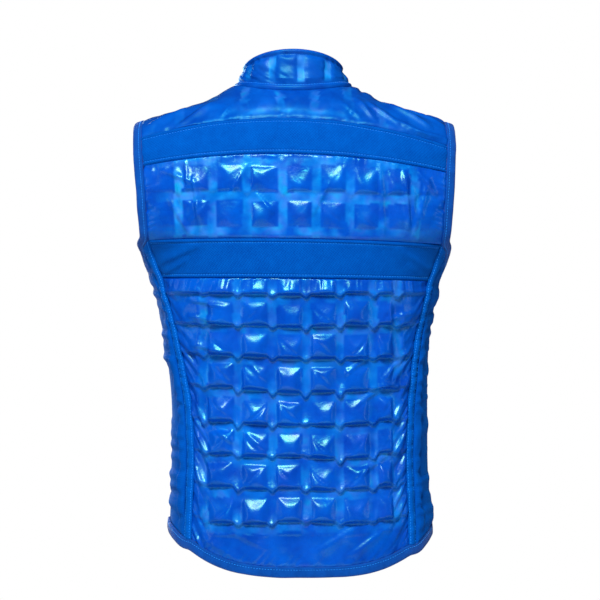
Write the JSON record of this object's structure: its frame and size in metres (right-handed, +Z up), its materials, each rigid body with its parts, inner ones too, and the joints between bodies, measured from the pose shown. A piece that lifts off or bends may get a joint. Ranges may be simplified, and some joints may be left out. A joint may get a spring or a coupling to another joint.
{
  "type": "cooling vest",
  "caption": "Sleeveless cooling vest in quilted coated nylon and knit, with stand-up collar, bound armholes and hem, and a closed front zip.",
  "frame": {"origin": "level of the neck-side shoulder points, on the neck's centre line, where the vest sits on the shoulders", "axes": "+Z up, +Y to the wearer's front, +X to the wearer's right"},
  "size_m": [0.423, 0.2402, 0.6698],
  "materials": {
    "glossy_nylon": "glossy",
    "mesh_knit": "matte",
    "side_knit": "matte",
    "trim_tape": "matte",
    "zip_nylon": "satin"
  },
  "bodies": {
    "root": {"back_yoke": "glossy_nylon", "back_upper_band": "mesh_knit", "back_middle_panel": "glossy_nylon", "back_lower_band": "mesh_knit", "back_main_panel": "glossy_nylon", "back_seam_strip_left": "side_knit", "back_seam_strip_right": "side_knit", "side_panel_left": "side_knit", "side_panel_right": "side_knit", "front_seam_strip_left": "side_knit", "front_seam_strip_right": "side_knit", "front_upper_panel_left": "glossy_nylon", "front_upper_panel_right": "glossy_nylon", "front_band_left": "mesh_knit", "front_band_right": "mesh_knit", "front_main_panel_left": "glossy_nylon", "front_main_panel_right": "glossy_nylon", "armhole_binding_left": "trim_tape", "armhole_binding_right": "trim_tape", "hem_binding": "trim_tape", "collar": "glossy_nylon", "front_zip": "zip_nylon"}
  },
  "joints": []
}
